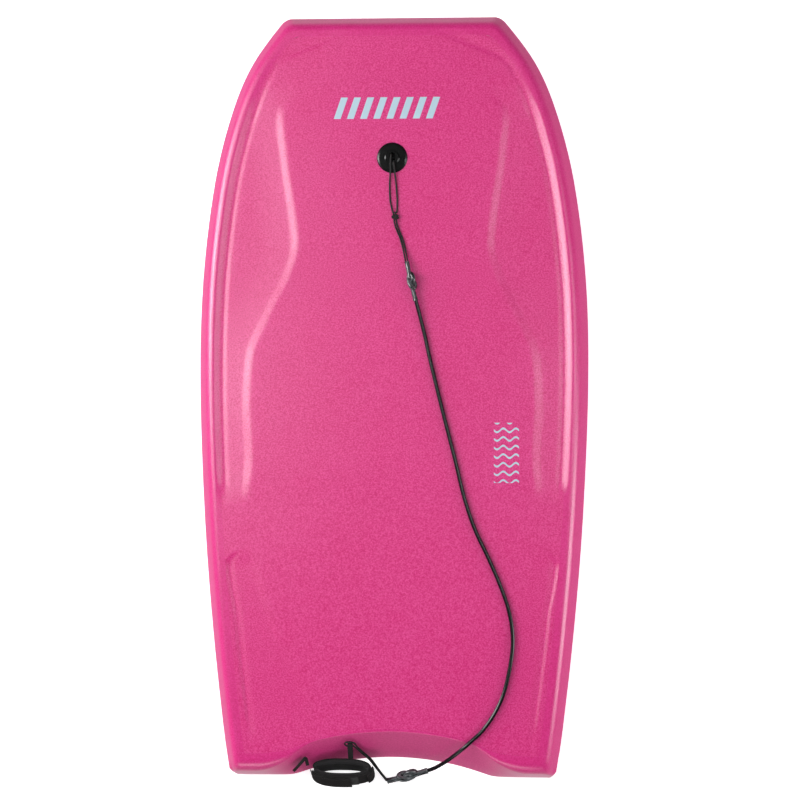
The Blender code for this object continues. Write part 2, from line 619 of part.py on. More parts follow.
# ---- build -------------------------------------------------------------------------------
def build():
    clear_scene()
    parts = new_collection("bodyboard")
    cutters = new_collection("cutters")

    deck_foam = material("deck foam", (0.66, 0.045, 0.20), 0.45)
    rail_foam = material("rail foam", (0.70, 0.07, 0.26), 0.35)
    core_foam = material("core foam", (0.86, 0.86, 0.84), 0.8)
    slick = material("slick plastic", (0.80, 0.80, 0.80), 0.25)
    black_plastic = material("black plastic", (0.012, 0.013, 0.013), 0.3)
    string_fibre = material("string", (0.02, 0.02, 0.02), 0.7)
    cord_plastic = material("cord plastic", (0.015, 0.015, 0.017), 0.25)
    sleeve_plastic = material("sleeve plastic", (0.16, 0.17, 0.18), 0.3)
    webbing = material("webbing", (0.03, 0.03, 0.03), 0.8)
    neoprene = material("neoprene", (0.025, 0.024, 0.028), 0.7)
    pile = material("hook and loop", (0.018, 0.018, 0.018), 0.9)

    low = SLICK_THICKNESS + GAP
    flange = THICKNESS - SKIN_THICKNESS
    slick_rings = [(LOWER_CHAMFER + 0.8 * MM, 0), (LOWER_CHAMFER + 0.1 * MM, SLICK_THICKNESS)]
    core_rings = [(LOWER_CHAMFER + 6.1 * MM, low), (SKIN_THICKNESS + 1.3 * MM, CHINE_HEIGHT),
                  (21.3 * MM, flange - GAP)]
    deck_rings = [(VALLEY_INSET + GAP, flange), (VALLEY_INSET + GAP, THICKNESS - VALLEY_DEPTH),
                  (DECK_SHOULDER, THICKNESS)]
    board = [plate("slick_skin", slick_rings, parts, slick),
             plate("foam_core", core_rings, parts, core_foam, tail_gap=1.7 * MM),
             plate("deck_skin", deck_rings, parts, deck_foam)]
    rail_band(parts, rail_foam)
    tail_band(parts, rail_foam)

    frame = plug_frame()
    hole = as_cutter(cylinder("plug_hole", STEM_RADIUS + GAP, -THICKNESS * 1.5, THICKNESS,
                              cutters, sides=40))
    hole.matrix_world = frame
    for layer in board:
        boolean(layer, hole, "DIFFERENCE")
    plug_top(frame, parts, cutters, black_plastic)
    plug_bottom(frame, parts, cutters, black_plastic)

    tube("string_loop", STRING_LOOP_ROUTE, STRING_DIAMETER, 3 * MM, parts, string_fibre)
    string_knot(parts, string_fibre)
    for name, offset in (("string_strand_left", -STRAND_SPACING / 2),
                         ("string_strand_right", STRAND_SPACING / 2)):
        tube(name, beside(STRAND_ROUTE, -offset), STRING_DIAMETER, STRING_STEP, parts, string_fibre)
    sleeve_knot("upper_sleeve_knot", UPPER_KNOT_ENDS, UPPER_KNOT_SHAPE, parts, sleeve_plastic)
    tube("leash_cord", CORD_ROUTE, CORD_DIAMETER, CORD_STEP, parts, cord_plastic)
    sleeve_knot("lower_sleeve_knot", LOWER_KNOT_ENDS, LOWER_KNOT_SHAPE, parts, sleeve_plastic)
    tube("cuff_string", CUFF_STRING_ROUTE, STRING_DIAMETER, 3.5 * MM, parts, string_fibre)

    cuff_layer("cuff_lining", LINING, parts, neoprene, 60)
    cuff_layer("cuff_strap", STRAP, parts, webbing, 56)
    cuff_layer("cuff_loop_patch", LOOP_PATCH, parts, pile, 14, trim=3 * MM)
    cuff_layer("cuff_strap_end", STRAP_END, parts, webbing, 10, trim=2 * MM)
    keeper(parts, webbing)
    pull_tab(parts, webbing)
    set_on_hinge(cuff_layer("cuff_flap", FLAP, parts, webbing, 22))
    set_on_hinge(cuff_layer("cuff_hook_patch", HOOK_PATCH, parts, pile, 10, trim=3 * MM))


build()
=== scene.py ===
# Bodyboard with a wrist leash: the finished look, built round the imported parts.
# +Z up, +Y to the nose, +X to the rider's right, metres. The board is shaped flat, then bent by its rocker.
import math

import bmesh
import bpy
from mathutils import Matrix, Vector


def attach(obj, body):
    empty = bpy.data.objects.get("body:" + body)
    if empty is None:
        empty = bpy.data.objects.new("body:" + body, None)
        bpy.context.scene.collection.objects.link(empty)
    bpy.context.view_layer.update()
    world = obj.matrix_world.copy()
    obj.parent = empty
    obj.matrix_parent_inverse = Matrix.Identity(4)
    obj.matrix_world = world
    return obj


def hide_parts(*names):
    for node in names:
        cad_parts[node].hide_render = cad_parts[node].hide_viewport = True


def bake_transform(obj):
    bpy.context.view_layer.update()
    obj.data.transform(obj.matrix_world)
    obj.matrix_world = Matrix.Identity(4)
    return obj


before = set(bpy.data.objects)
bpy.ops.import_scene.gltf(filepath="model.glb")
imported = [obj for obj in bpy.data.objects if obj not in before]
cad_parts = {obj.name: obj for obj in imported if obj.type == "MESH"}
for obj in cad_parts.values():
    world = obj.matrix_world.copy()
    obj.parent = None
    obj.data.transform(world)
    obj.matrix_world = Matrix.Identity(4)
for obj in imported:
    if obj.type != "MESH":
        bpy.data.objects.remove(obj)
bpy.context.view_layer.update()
mm = 0.001


# small tools used everywhere
def hexColour(code):
    values = [int(code[i:i + 2], 16) / 255 for i in (1, 3, 5)]
    return [v / 12.92 if v <= 0.04045 else ((v + 0.055) / 1.055) ** 2.4 for v in values] + [1]


def addNode(tree, kind, feeds=(), **settings):
    # feeds go to the inputs in order, or to a named input as (feed, name); a feed is a socket or a number
    # settings are node properties, or input values when their name starts with in_
    node = tree.nodes.new(kind)
    for key, value in settings.items():
        if key.startswith("in_"):
            name = key[3:].replace("_", " ")
            node.inputs[int(name) if name.isdigit() else name].default_value = value
        else:
            setattr(node, key, value)
    for place, feed in enumerate(feeds):
        source, socket = feed if isinstance(feed, tuple) else (feed, place)
        if isinstance(source, (int, float)):
            node.inputs[socket].default_value = source
        else:
            tree.links.new(source, node.inputs[socket])
    return node


def newMaterial(name, **shaderInputs):
    made = bpy.data.materials.new(name)
    made.use_nodes = True
    tree = made.node_tree
    shader = tree.nodes["Principled BSDF"]
    for key, value in shaderInputs.items():
        shader.inputs[key.replace("_", " ")].default_value = value
    return made, tree, shader


def tinted(tree, shader, share, dark, light):
    # the base colour goes from dark to light as share goes from 0 to 1
    tint = addNode(tree, "ShaderNodeMix", [(share, "Factor")], data_type="RGBA")
    tint.inputs["A"].default_value = hexColour(dark)
    tint.inputs["B"].default_value = hexColour(light)
    tree.links.new(tint.outputs["Result"], shader.inputs["Base Color"])
    return tint.outputs["Result"]


def embossed(tree, shader, height, strength, depth):
    relief = addNode(tree, "ShaderNodeBump", [(height, "Height")], in_Strength=strength, in_Distance=depth)
    tree.links.new(relief.outputs["Normal"], shader.inputs["Normal"])


def smoothstep(value, low, high):
    share = min(max((value - low) / (high - low), 0), 1)
    return share * share * (3 - 2 * share)


def smoothValue(stations, at):
    # cubic through (position, value) stations, and its slope
    last = len(stations) - 3
    i = 1
    while i < last and at > stations[i + 1][0]:
        i += 1
    (ya, a), (y0, v0), (y1, v1), (yb, b) = stations[i - 1:i + 3]
    step = y1 - y0
    m0, m1 = (v1 - a) / (y1 - ya) * step, (b - v0) / (yb - y0) * step
    t = min(max((at - y0) / step, -0.5), 1.5)
    value = ((2 * t**3 - 3 * t**2 + 1) * v0 + (t**3 - 2 * t**2 + t) * m0
             + (3 * t**2 - 2 * t**3) * v1 + (t**3 - t**2) * m1)
    slope = ((6 * t**2 - 6 * t) * v0 + (3 * t**2 - 4 * t + 1) * m0
             + (6 * t - 6 * t**2) * v1 + (3 * t**2 - 2 * t) * m1) / step
    return value, slope


def routeLength(points):
    return sum((b - a).length for a, b in zip(points, points[1:]))


def runningLength(points):
    # distance along a line of points, at each of them
    along = [0.0]
    for a, b in zip(points, points[1:]):
        along.append(along[-1] + (b - a).length)
    return along


def smoothRoute(route, step):
    # evenly spaced points on a smooth curve through a route's points
    points = [Vector(p) for p in route]
    points = [2 * points[0] - points[1]] + points + [2 * points[-1] - points[-2]]
    fine = []
    for a, b, c, d in zip(points, points[1:], points[2:], points[3:]):
        for k in range(12):
            t = k / 12
            fine.append(0.5 * (2 * b + (c - a) * t + (2 * a - 5 * b + 4 * c - d) * t**2
                               + (3 * b - a - 3 * c + d) * t**3))
    fine.append(points[-2])
    along = runningLength(fine)
    count = max(2, round(along[-1] / step))
    spaced, j = [], 0
    for k in range(count + 1):
        target = along[-1] * k / count
        while j < len(fine) - 2 and along[j + 1] < target:
            j += 1
        spaced.append(fine[j].lerp(fine[j + 1], (target - along[j]) / (along[j + 1] - along[j])))
    return spaced


def finish(name, bm, surface, body, replaced=(), sharp=40):
    # a closed bmesh becomes a piece: faces out, smooth, riding on its body
    bmesh.ops.recalc_face_normals(bm, faces=bm.faces)
    mesh = bpy.data.meshes.new(name)
    bm.to_mesh(mesh)
    bm.free()
    mesh.shade_smooth()
    mesh.set_sharp_from_angle(angle=math.radians(sharp))
    mesh.materials.append(surface)
    piece = bpy.data.objects.new(name, mesh)
    bpy.context.scene.collection.objects.link(piece)
    if body:
        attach(piece, body)
    if replaced:
        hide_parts(*replaced)
    return piece


def gridSheet(bm, columns, rows, place, uvSize=(1, 1)):
    # a grid whose vertex in column i, row j goes to place(i / columns, j / rows)
    uvLayer = bm.loops.layers.uv.verify()
    made = bmesh.ops.create_grid(bm, x_segments=columns, y_segments=rows, size=1, calc_uvs=True)["verts"]
    shares = {v: ((v.co.x + 1) / 2, (v.co.y + 1) / 2) for v in made}
    faces = {f for v in made for f in v.link_faces}
    for face in faces:
        for loop in face.loops:
            u, v = shares[loop.vert]
            loop[uvLayer].uv = (u * uvSize[0], v * uvSize[1])
    for vert, (u, v) in shares.items():
        vert.co = place(u, v)
    return made


def closeSheet(bm):
    # weld a rolled-up grid along its seam and cap its two ends
    bmesh.ops.remove_doubles(bm, verts=bm.verts, dist=1e-6)
    rims = [e for e in bm.edges if e.is_boundary]
    bmesh.ops.holes_fill(bm, edges=rims, sides=0)


def tubeMesh(bm, points, radius, sides=12, swell=None):
    # a round tube along points, without twist, welded and capped
    ahead = [(b - a).normalized() for a, b in zip(points, points[1:])]
    tangents = [ahead[0]] + [(a + b).normalized() for a, b in zip(ahead, ahead[1:])] + [ahead[-1]]
    side = tangents[0].orthogonal().normalized()
    frames = []
    for i, tangent in enumerate(tangents):
        side = (side - side.dot(tangent) * tangent).normalized()
        frames.append((side.copy(), tangent.cross(side)))
    count = len(points) - 1

    def place(u, v):
        i = round(v * count)
        turn = 2 * math.pi * u
        across, up = frames[i]
        size = radius * (swell(v) if swell else 1)
        return points[i] + across * (size * math.cos(turn)) + up * (size * math.sin(turn))

    gridSheet(bm, sides, count, place, (2 * math.pi * radius, routeLength(points)))
    closeSheet(bm)


# camera, high over the deck and a little to its right
view = {"spot": (0.2141, -0.0857, 3.1923), "aim": (0.00797, -0.00197, 0), "roll": 0.166, "lens": 101.1}
back = (Vector(view["spot"]) - Vector(view["aim"])).normalized()
across = Vector((0, 1, 0)).cross(back).normalized()
roll = math.radians(view["roll"])
right = across * math.cos(roll) + back.cross(across) * math.sin(roll)
cameraData = bpy.data.cameras.new("camera")
cameraData.lens = view["lens"]
cameraData.sensor_width = 36
camera = bpy.data.objects.new("camera", cameraData)
bpy.context.scene.collection.objects.link(camera)
turn = Matrix((right, back.cross(right), back)).transposed().to_4x4()
camera.matrix_world = Matrix.Translation(view["spot"]) @ turn
bpy.context.scene.camera = camera


# foams; grain in mm
foam = {"deck": {"light": "#f14f9c", "dark": "#d90370", "grain": 1.2, "roughness": 0.32, "bump": 0.45,
                 "speckle": 3.0, "sheen": 0.0},
        "rail": {"light": "#ef449a", "dark": "#d80e72", "grain": 1.3, "roughness": 0.30, "bump": 0.20,
                 "speckle": 2.0, "sheen": 0.55},
        "ior": 1.75, "mottle": 0.25}


def foamSurface(name, light, dark, grain, roughness, bump, speckle, sheen):
    # cross-linked polyethylene foam, skinned against a warm textured roller: a satin skin with fine
    # pebbles, drawn about 1.2 mm across, coarser than the real ones, so that they show
    made, tree, shader = newMaterial(name, Roughness=roughness, IOR=foam["ior"], Sheen_Weight=sheen,
                                     Sheen_Roughness=0.35)
    place = addNode(tree, "ShaderNodeTexCoord").outputs["Object"]
    fine = addNode(tree, "ShaderNodeTexNoise", [(place, "Vector")], in_Scale=0.6 / (grain * mm),
                   in_Detail=3.0, in_Roughness=0.6)
    broad = addNode(tree, "ShaderNodeTexNoise", [(place, "Vector")], in_Scale=9.0, in_Detail=2.0)
    mottle = addNode(tree, "ShaderNodeMath", [broad.outputs["Fac"], foam["mottle"], -foam["mottle"] / 2],
                     operation="MULTIPLY_ADD")
    spread = addNode(tree, "ShaderNodeMath", [fine.outputs["Fac"], speckle, 0.5 - speckle / 2],
                     operation="MULTIPLY_ADD")
    share = addNode(tree, "ShaderNodeMath", [mottle.outputs[0], spread.outputs[0]], operation="ADD")
    colour = tinted(tree, shader, share.outputs[0], dark, light)
    embossed(tree, shader, fine.outputs["Fac"], bump, 0.4 * mm)
    return made, tree, shader, place, colour


deckFoam, *deckSockets = foamSurface("textured polyethylene foam", **foam["deck"])
railFoam = foamSurface("skinned polyethylene foam", **foam["rail"])[0]

marks = {"ink": "#bfe3f0", "cover": 0.95,
         "bars": {"middle": (-0.003, 0.4055), "size": (0.148, 0.030), "count": 8, "slant": 0.35,
                  "fill": 0.52},
         "waves": {"middle": (0.1605, -0.077), "size": (0.035, 0.084), "count": 7, "length": 17.5 * mm,
                   "height": 2.6 * mm, "fill": 0.24}}


def printMarks(tree, shader, place, colour):
    # screen-printed marks in pale blue ink: slanted bars by the nose, a stack of waves on the right
    bars, waves = marks["bars"], marks["waves"]
    parts = addNode(tree, "ShaderNodeSeparateXYZ", [place])
    x, y = parts.outputs["X"], parts.outputs["Y"]

    def worked(operation, *terms):
        return addNode(tree, "ShaderNodeMath", terms, operation=operation).outputs[0]

    def within(value, middle, size):
        return worked("LESS_THAN", worked("ABSOLUTE", worked("SUBTRACT", value, middle)), size / 2)

    def striped(value, pitch, fill):
        return worked("LESS_THAN", worked("FRACT", worked("DIVIDE", value, pitch)), fill)

    def framed(pattern, across, along, mark):
        window = worked("MULTIPLY", within(across, mark["middle"][0], mark["size"][0]),
                        within(along, mark["middle"][1], mark["size"][1]))
        return worked("MULTIPLY", pattern, window)

    lean = worked("MULTIPLY", worked("SUBTRACT", y, bars["middle"][1]), bars["slant"])
    leaning = worked("SUBTRACT", x, lean)
    start = worked("SUBTRACT", leaning, bars["middle"][0] - bars["size"][0] / 2)
    barMarks = framed(striped(start, bars["size"][0] / bars["count"], bars["fill"]), leaning, y, bars)

    turned = worked("MULTIPLY", worked("SUBTRACT", x, waves["middle"][0]), 2 * math.pi / waves["length"])
    ripple = worked("MULTIPLY", worked("SINE", turned), waves["height"])
    rise = worked("ADD", worked("SUBTRACT", y, waves["middle"][1] - waves["size"][1] / 2), ripple)
    waveMarks = framed(striped(rise, waves["size"][1] / waves["count"], waves["fill"]), x, y, waves)

    ink = worked("MULTIPLY", worked("MAXIMUM", barMarks, waveMarks), marks["cover"])
    over = addNode(tree, "ShaderNodeMix", [(ink, "Factor"), (colour, "A")], data_type="RGBA")
    over.inputs["B"].default_value = hexColour(marks["ink"])
    tree.links.new(over.outputs["Result"], shader.inputs["Base Color"])


printMarks(*deckSockets)

# plastics; grain in mm
plastics = {"plug": {"colour": "#0d0e0e", "roughness": 0.22, "grain": 6, "bump": 0.10},
            "hull": {"colour": "#e9e9ea", "roughness": 0.24, "grain": 40, "bump": 0.15},
            "cord": {"colour": "#121214", "roughness": 0.22, "grain": 12, "bump": 0.10}}


def mouldedPlastic(name, colour, roughness, grain, bump):
    # moulded nylon, rolled polyethylene or extruded urethane: even colour, faint flow marks in the gloss
    made, tree, shader = newMaterial(name, Base_Color=hexColour(colour), IOR=1.5)
    place = addNode(tree, "ShaderNodeTexCoord").outputs["Object"]
    flow = addNode(tree, "ShaderNodeTexNoise", [(place, "Vector")], in_Scale=1 / (grain * mm), in_Detail=4.0)
    gloss = addNode(tree, "ShaderNodeMapRange", [(flow.outputs["Fac"], "Value")],
                    in_To_Min=roughness * 0.8, in_To_Max=roughness * 1.25)
    tree.links.new(gloss.outputs["Result"], shader.inputs["Roughness"])
    embossed(tree, shader, flow.outputs["Fac"], bump, 0.1 * mm)
    return made


plugPlastic = mouldedPlastic("moulded nylon", **plastics["plug"])
hullPlastic = mouldedPlastic("rolled polyethylene sheet", **plastics["hull"])
cordRubber = mouldedPlastic("extruded urethane", **plastics["cord"])
beadLook = {"bead": "#f2f2ef", "border": "#c9c9c6", "size": 4 * mm}


def beadFoam():
    # expanded polystyrene beads fused in steam: white cells with fine grey borders
    made, tree, shader = newMaterial("fused bead foam", Roughness=0.8)
    place = addNode(tree, "ShaderNodeTexCoord").outputs["Object"]
    beads = addNode(tree, "ShaderNodeTexVoronoi", [(place, "Vector")], feature="DISTANCE_TO_EDGE",
                    in_Scale=1 / beadLook["size"])
    edge = addNode(tree, "ShaderNodeMapRange", [(beads.outputs["Distance"], "Value")], in_From_Max=0.12)
    tinted(tree, shader, edge.outputs["Result"], beadLook["border"], beadLook["bead"])
    embossed(tree, shader, edge.outputs["Result"], 0.4, 0.5 * mm)
    return made


# sleeve colours: the black cord seen through where the tube touches it, and a painted silvery reflection where
# it lifts off
sleeveLook = {"touching": "#1e2022", "paintedReflection": "#5e6366", "patch": 3.2 * mm, "stretch": 0.28}


def clearSleeve():
    # clear PVC tube drawn tight over the black cord: a painted silvery reflection where it lifts off, the
    # cord's own black showing through where it touches
    made, tree, shader = newMaterial("clear vinyl tube", Roughness=0.22, IOR=1.53, Coat_Weight=0.4,
                                     Coat_Roughness=0.1)
    uv = addNode(tree, "ShaderNodeTexCoord").outputs["UV"]
    stretched = addNode(tree, "ShaderNodeMapping", [uv], in_Scale=(1.0, sleeveLook["stretch"], 1.0))
    cling = addNode(tree, "ShaderNodeTexNoise", [(stretched.outputs[0], "Vector")],
                    in_Scale=1 / sleeveLook["patch"], in_Detail=2.0)
    touch = addNode(tree, "ShaderNodeMapRange", [(cling.outputs["Fac"], "Value")], in_From_Min=0.38,
                    in_From_Max=0.62)
    # painted reflection: the colour runs from the cord's own black, seen through the tube, to a silvery grey
    # that stands in for the reflection where the tube lifts off
    tinted(tree, shader, touch.outputs["Result"], sleeveLook["touching"], sleeveLook["paintedReflection"])
    embossed(tree, shader, cling.outputs["Fac"], 0.5, 0.5 * mm)
    return made


# cloths; thread and grain in mm
cloths = {"wide": {"light": "#262223", "dark": "#080707", "thread": 1.1, "roughness": 0.6, "bump": 0.8},
          "narrow": {"light": "#221f20", "dark": "#080707", "thread": 0.9, "roughness": 0.6, "bump": 0.6},
          "neoprene": {"light": "#1a151a", "dark": "#060606", "grain": 0.7, "roughness": 0.75},
          "pile": {"light": "#1b1a1a", "dark": "#060606", "grain": 1.2, "roughness": 0.85},
          "string": {"light": "#1c1b1b", "dark": "#0a0a0a", "plait": 1.9}}


def woven(name, light, dark, thread, roughness, bump):
    # flat-woven nylon tape: warp and weft threads crossing, on the piece's own UV in metres
    made, tree, shader = newMaterial(name, Roughness=roughness, Specular_IOR_Level=0.3)
    uv = addNode(tree, "ShaderNodeTexCoord").outputs["UV"]
    split = addNode(tree, "ShaderNodeSeparateXYZ", [uv])
    threads = []
    for direction in ("X", "Y"):
        turned = addNode(tree, "ShaderNodeMath", [split.outputs[direction], math.pi / (thread * mm)],
                         operation="MULTIPLY")
        threads.append(addNode(tree, "ShaderNodeMath", [turned.outputs[0]], operation="SINE").outputs[0])
    crossed = addNode(tree, "ShaderNodeMath", threads, operation="MULTIPLY")
    weave = addNode(tree, "ShaderNodeMath", [crossed.outputs[0], 0.5, 0.5], operation="MULTIPLY_ADD")
    fuzz = addNode(tree, "ShaderNodeTexNoise", [(uv, "Vector")], in_Scale=900.0, in_Detail=3.0)
    height = addNode(tree, "ShaderNodeMath", [fuzz.outputs["Fac"], 0.4, weave.outputs[0]],
                     operation="MULTIPLY_ADD").outputs[0]
    tinted(tree, shader, height, dark, light)
    embossed(tree, shader, height, bump, 0.25 * mm)
    return made


def braid(name, light, dark, plait):
    # braided nylon string: diagonal strands crossing both ways round it
    made, tree, shader = newMaterial(name, Roughness=0.6, Sheen_Weight=0.05)
    uv = addNode(tree, "ShaderNodeTexCoord").outputs["UV"]
    split = addNode(tree, "ShaderNodeSeparateXYZ", [uv])
    strands = []
    for way in ("ADD", "SUBTRACT"):
        slanted = addNode(tree, "ShaderNodeMath", [split.outputs["Y"], split.outputs["X"]], operation=way)
        turned = addNode(tree, "ShaderNodeMath", [slanted.outputs[0], 2 * math.pi / (plait * mm)],
                         operation="MULTIPLY")
        strands.append(addNode(tree, "ShaderNodeMath", [turned.outputs[0]], operation="SINE").outputs[0])
    over = addNode(tree, "ShaderNodeMath", strands, operation="MAXIMUM")
    height = addNode(tree, "ShaderNodeMath", [over.outputs[0], 0.5, 0.5], operation="MULTIPLY_ADD").outputs[0]
    tinted(tree, shader, height, dark, light)
    embossed(tree, shader, height, 0.5, 0.3 * mm)
    return made


def napped(name, light, dark, grain, roughness):
    # hook tape, loop pile or fabric-faced neoprene: a soft irregular nap
    made, tree, shader = newMaterial(name, Roughness=roughness, Sheen_Weight=0.05)
    place = addNode(tree, "ShaderNodeTexCoord").outputs["Object"]
    nap = addNode(tree, "ShaderNodeTexNoise", [(place, "Vector")], in_Scale=1 / (grain * mm), in_Detail=5.0)
    tinted(tree, shader, nap.outputs["Fac"], dark, light)
    embossed(tree, shader, nap.outputs["Fac"], 0.6, 0.4 * mm)
    return made


beads = beadFoam()
vinyl = clearSleeve()
webbing = woven("woven nylon webbing", **cloths["wide"])
narrowWebbing = woven("narrow nylon tape", **cloths["narrow"])
string = braid("braided nylon string", **cloths["string"])
neoprene = napped("nylon-faced neoprene", **cloths["neoprene"])
pile = napped("hook and loop tape", **cloths["pile"])
print("materials ready")


# cords, on the same routes as the parts
stringSize, cordSize = 2.4 * mm, 5.5 * mm
stringLoopRoute = [
    (0.0013, 0.2584, 0.0609), (-0.0012, 0.2680, 0.0598), (-0.0029, 0.2800, 0.0602),
    (-0.0033, 0.2980, 0.0612), (-0.0029, 0.3080, 0.0624), (-0.0025, 0.3150, 0.0638),
    (-0.0022, 0.3210, 0.0650), (-0.0021, 0.3262, 0.0668), (-0.0020, 0.3310, 0.0668),
    (-0.0019, 0.3360, 0.0666), (-0.0013, 0.3397, 0.0648), (-0.0006, 0.3406, 0.0615),
    (0.0002, 0.3392, 0.0585), (0.0010, 0.3360, 0.0571), (0.0017, 0.3326, 0.0585),
    (0.0019, 0.3307, 0.0620), (0.0019, 0.3305, 0.0650), (0.0023, 0.3287, 0.0674),
    (0.0028, 0.3252, 0.0674), (0.0033, 0.3205, 0.0656), (0.0039, 0.3150, 0.0638),
    (0.0048, 0.3070, 0.0622), (0.0062, 0.2930, 0.0609), (0.0071, 0.2780, 0.0601),
    (0.0070, 0.2670, 0.0598), (0.0066, 0.2584, 0.0609)]
strandRoute = [
    (0.0045, 0.2474, 0.0612), (0.0062, 0.2400, 0.0595), (0.0092, 0.2320, 0.0588),
    (0.0136, 0.2210, 0.0584), (0.0172, 0.2070, 0.0592), (0.0207, 0.1906, 0.0624)]
cordRoute = [
    (0.0335, 0.1364, 0.0626), (0.0390, 0.1160, 0.0606), (0.0465, 0.0860, 0.0588),
    (0.0540, 0.0520, 0.0583), (0.0710, -0.0170, 0.0583), (0.0890, -0.0870, 0.0583),
    (0.1020, -0.1400, 0.0583), (0.1170, -0.1840, 0.0583), (0.1350, -0.2220, 0.0583),
    (0.1520, -0.2610, 0.0583), (0.1640, -0.2960, 0.0583), (0.1695, -0.3300, 0.0583),
    (0.1680, -0.3620, 0.0583), (0.1590, -0.4060, 0.0583), (0.1460, -0.4370, 0.0583),
    (0.1290, -0.4620, 0.0585), (0.1130, -0.4775, 0.0588), (0.1030, -0.4865, 0.0583),
    (0.0920, -0.4960, 0.0525), (0.0800, -0.5060, 0.0430), (0.0690, -0.5142, 0.0325),
    (0.0600, -0.5204, 0.0212), (0.0535, -0.5240, 0.0130), (0.0474, -0.5262, 0.0096)]
cuffStringRoute = [
    (-0.0085, -0.5391, 0.0090), (-0.0170, -0.5290, 0.0098), (-0.0240, -0.5190, 0.0118),
    (-0.0310, -0.5092, 0.0158), (-0.0405, -0.4992, 0.0262), (-0.0470, -0.4912, 0.0375),
    (-0.0510, -0.4848, 0.0450), (-0.0547, -0.4826, 0.0473), (-0.0590, -0.4823, 0.0476),
    (-0.0630, -0.4828, 0.0472),
    (-0.0654, -0.4852, 0.0454), (-0.0630, -0.4878, 0.0437), (-0.0580, -0.4880, 0.0434),
    (-0.0534, -0.4881, 0.0428), (-0.0485, -0.4933, 0.0358), (-0.0420, -0.5011, 0.0243),
    (-0.0330, -0.5107, 0.0148), (-0.0258, -0.5205, 0.0098), (-0.0182, -0.5303, 0.0076),
    (-0.0088, -0.5418, 0.0068)]
strandGap = 2.9 * mm
upperKnotEnds = (Vector((0.0210, 0.1898, 0.0629)), Vector((0.0338, 0.1352, 0.0625)))
lowerKnotEnds = (Vector((0.0492, -0.5256, 0.0106)), Vector((-0.0080, -0.5412, 0.0086)))


def beside(route, offset):
    points = [Vector(p) for p in route]
    moved = []
    for i, point in enumerate(points):
        ahead = points[min(i + 1, len(points) - 1)] - points[max(i - 1, 0)]
        moved.append(point + Vector((-ahead.y, ahead.x, 0)).normalized() * offset)
    return moved


def cordPiece(name, route, size, step, surface, sides=12):
    points = smoothRoute(route, step)
    bm = bmesh.new()
    tubeMesh(bm, points, size / 2, sides)
    return finish(name + "_laid", bm, surface, "board", replaced=(name,)), points


upperBundle = {"size": 2.2 * mm, "stretch": 1.7, "height": 2.6 * mm, "lift": 0.6 * mm, "at": 0.50,
               "radius": 3.3 * mm, "flip": 1}
lowerBundle = {"size": 2.7 * mm, "stretch": 1.6, "height": 3.2 * mm, "lift": 0.8 * mm, "at": 0.50,
               "radius": 4.0 * mm, "flip": -1}
stringBundle = {"size": 1.75 * mm, "stretch": 0.50, "height": 1.5 * mm, "lift": 0, "at": 0.5,
                "radius": 1.25 * mm, "flip": 1}
trefoil = {"steps": 16, "open": 0.95, "shift": 0.4}


def overhand(start, end, bundle):
    # an overhand knot between two ends: an opened trefoil lying flat, its ends led out along the line
    line = end - start
    along = line.normalized()
    up = Vector((0, 0, 1))
    aside = up.cross(along) * bundle["flip"]
    middle = start + line * bundle["at"]
    first, last = math.pi + trefoil["open"], 3 * math.pi - trefoil["open"]
    points = []
    for k in range(trefoil["steps"] + 1):
        t = first + (last - first) * k / trefoil["steps"]
        x = -(math.sin(t) + 2 * math.sin(2 * t))
        y = math.cos(t) - 2 * math.cos(2 * t) - trefoil["shift"]
        points.append(middle + along * (x * bundle["size"] * bundle["stretch"]) + aside * (y * bundle["size"])
                      + up * (bundle["lift"] - math.sin(3 * t) * bundle["height"]))
    lead = [start, start.lerp(points[0], 0.35), start.lerp(points[0], 0.8)]
    tail = [end.lerp(points[-1], 0.8), end.lerp(points[-1], 0.35), end]
    return lead + points + tail


def sleeveKnot(name, ends, bundle):
    # the sleeve tied in one knot, a little wider at its cut ends
    bm = bmesh.new()
    tubeMesh(bm, smoothRoute(overhand(*ends, bundle), 0.9 * mm), bundle["radius"], 16,
             swell=lambda v: 1 + 0.12 * math.exp(-min(v, 1 - v) * 60))
    return finish(name + "_tied", bm, vinyl, "board", replaced=(name,))


upperSleeve = sleeveKnot("upper_sleeve_knot", upperKnotEnds, upperBundle)
lowerSleeve = sleeveKnot("lower_sleeve_knot", lowerKnotEnds, lowerBundle)

loopPiece, loopPoints = cordPiece("string_loop", stringLoopRoute, stringSize, 1.2 * mm, string)
strandPieces = []
for name, offset in (("string_strand_left", strandGap / 2), ("string_strand_right", -strandGap / 2)):
    strandPieces.append(cordPiece(name, beside(strandRoute, offset), stringSize, 1.2 * mm, string))
cordPieceMade, cordPoints = cordPiece("leash_cord", cordRoute, cordSize, 3 * mm, cordRubber, 16)
cuffString, cuffStringPoints = cordPiece("cuff_string", cuffStringRoute, stringSize, 1.2 * mm, string)


def knotMesh():
    # the plug string's small knot: an overhand of the doubled string, pulled tight
    centre = Vector((0.0040, 0.2530, 0.0620))
    start = centre + Vector((-0.0006, 0.0068, -0.0008))
    end = centre + Vector((0.0010, -0.0068, -0.0008))
    bm = bmesh.new()
    for shift in (-1.4 * mm, 1.4 * mm):
        aside = Vector((shift, 0, 0))
        route = overhand(start + aside, end + aside, stringBundle)
        tubeMesh(bm, smoothRoute(route, 0.7 * mm), stringBundle["radius"], 10)
    return finish("string_knot_tied", bm, string, "board", replaced=("string_knot",),
                  sharp=80)


stringKnot = knotMesh()
routeLength(loopPoints)
for piece, points in strandPieces:
    routeLength(points)
routeLength(cordPoints)
routeLength(cuffStringPoints)
print("leash ready")


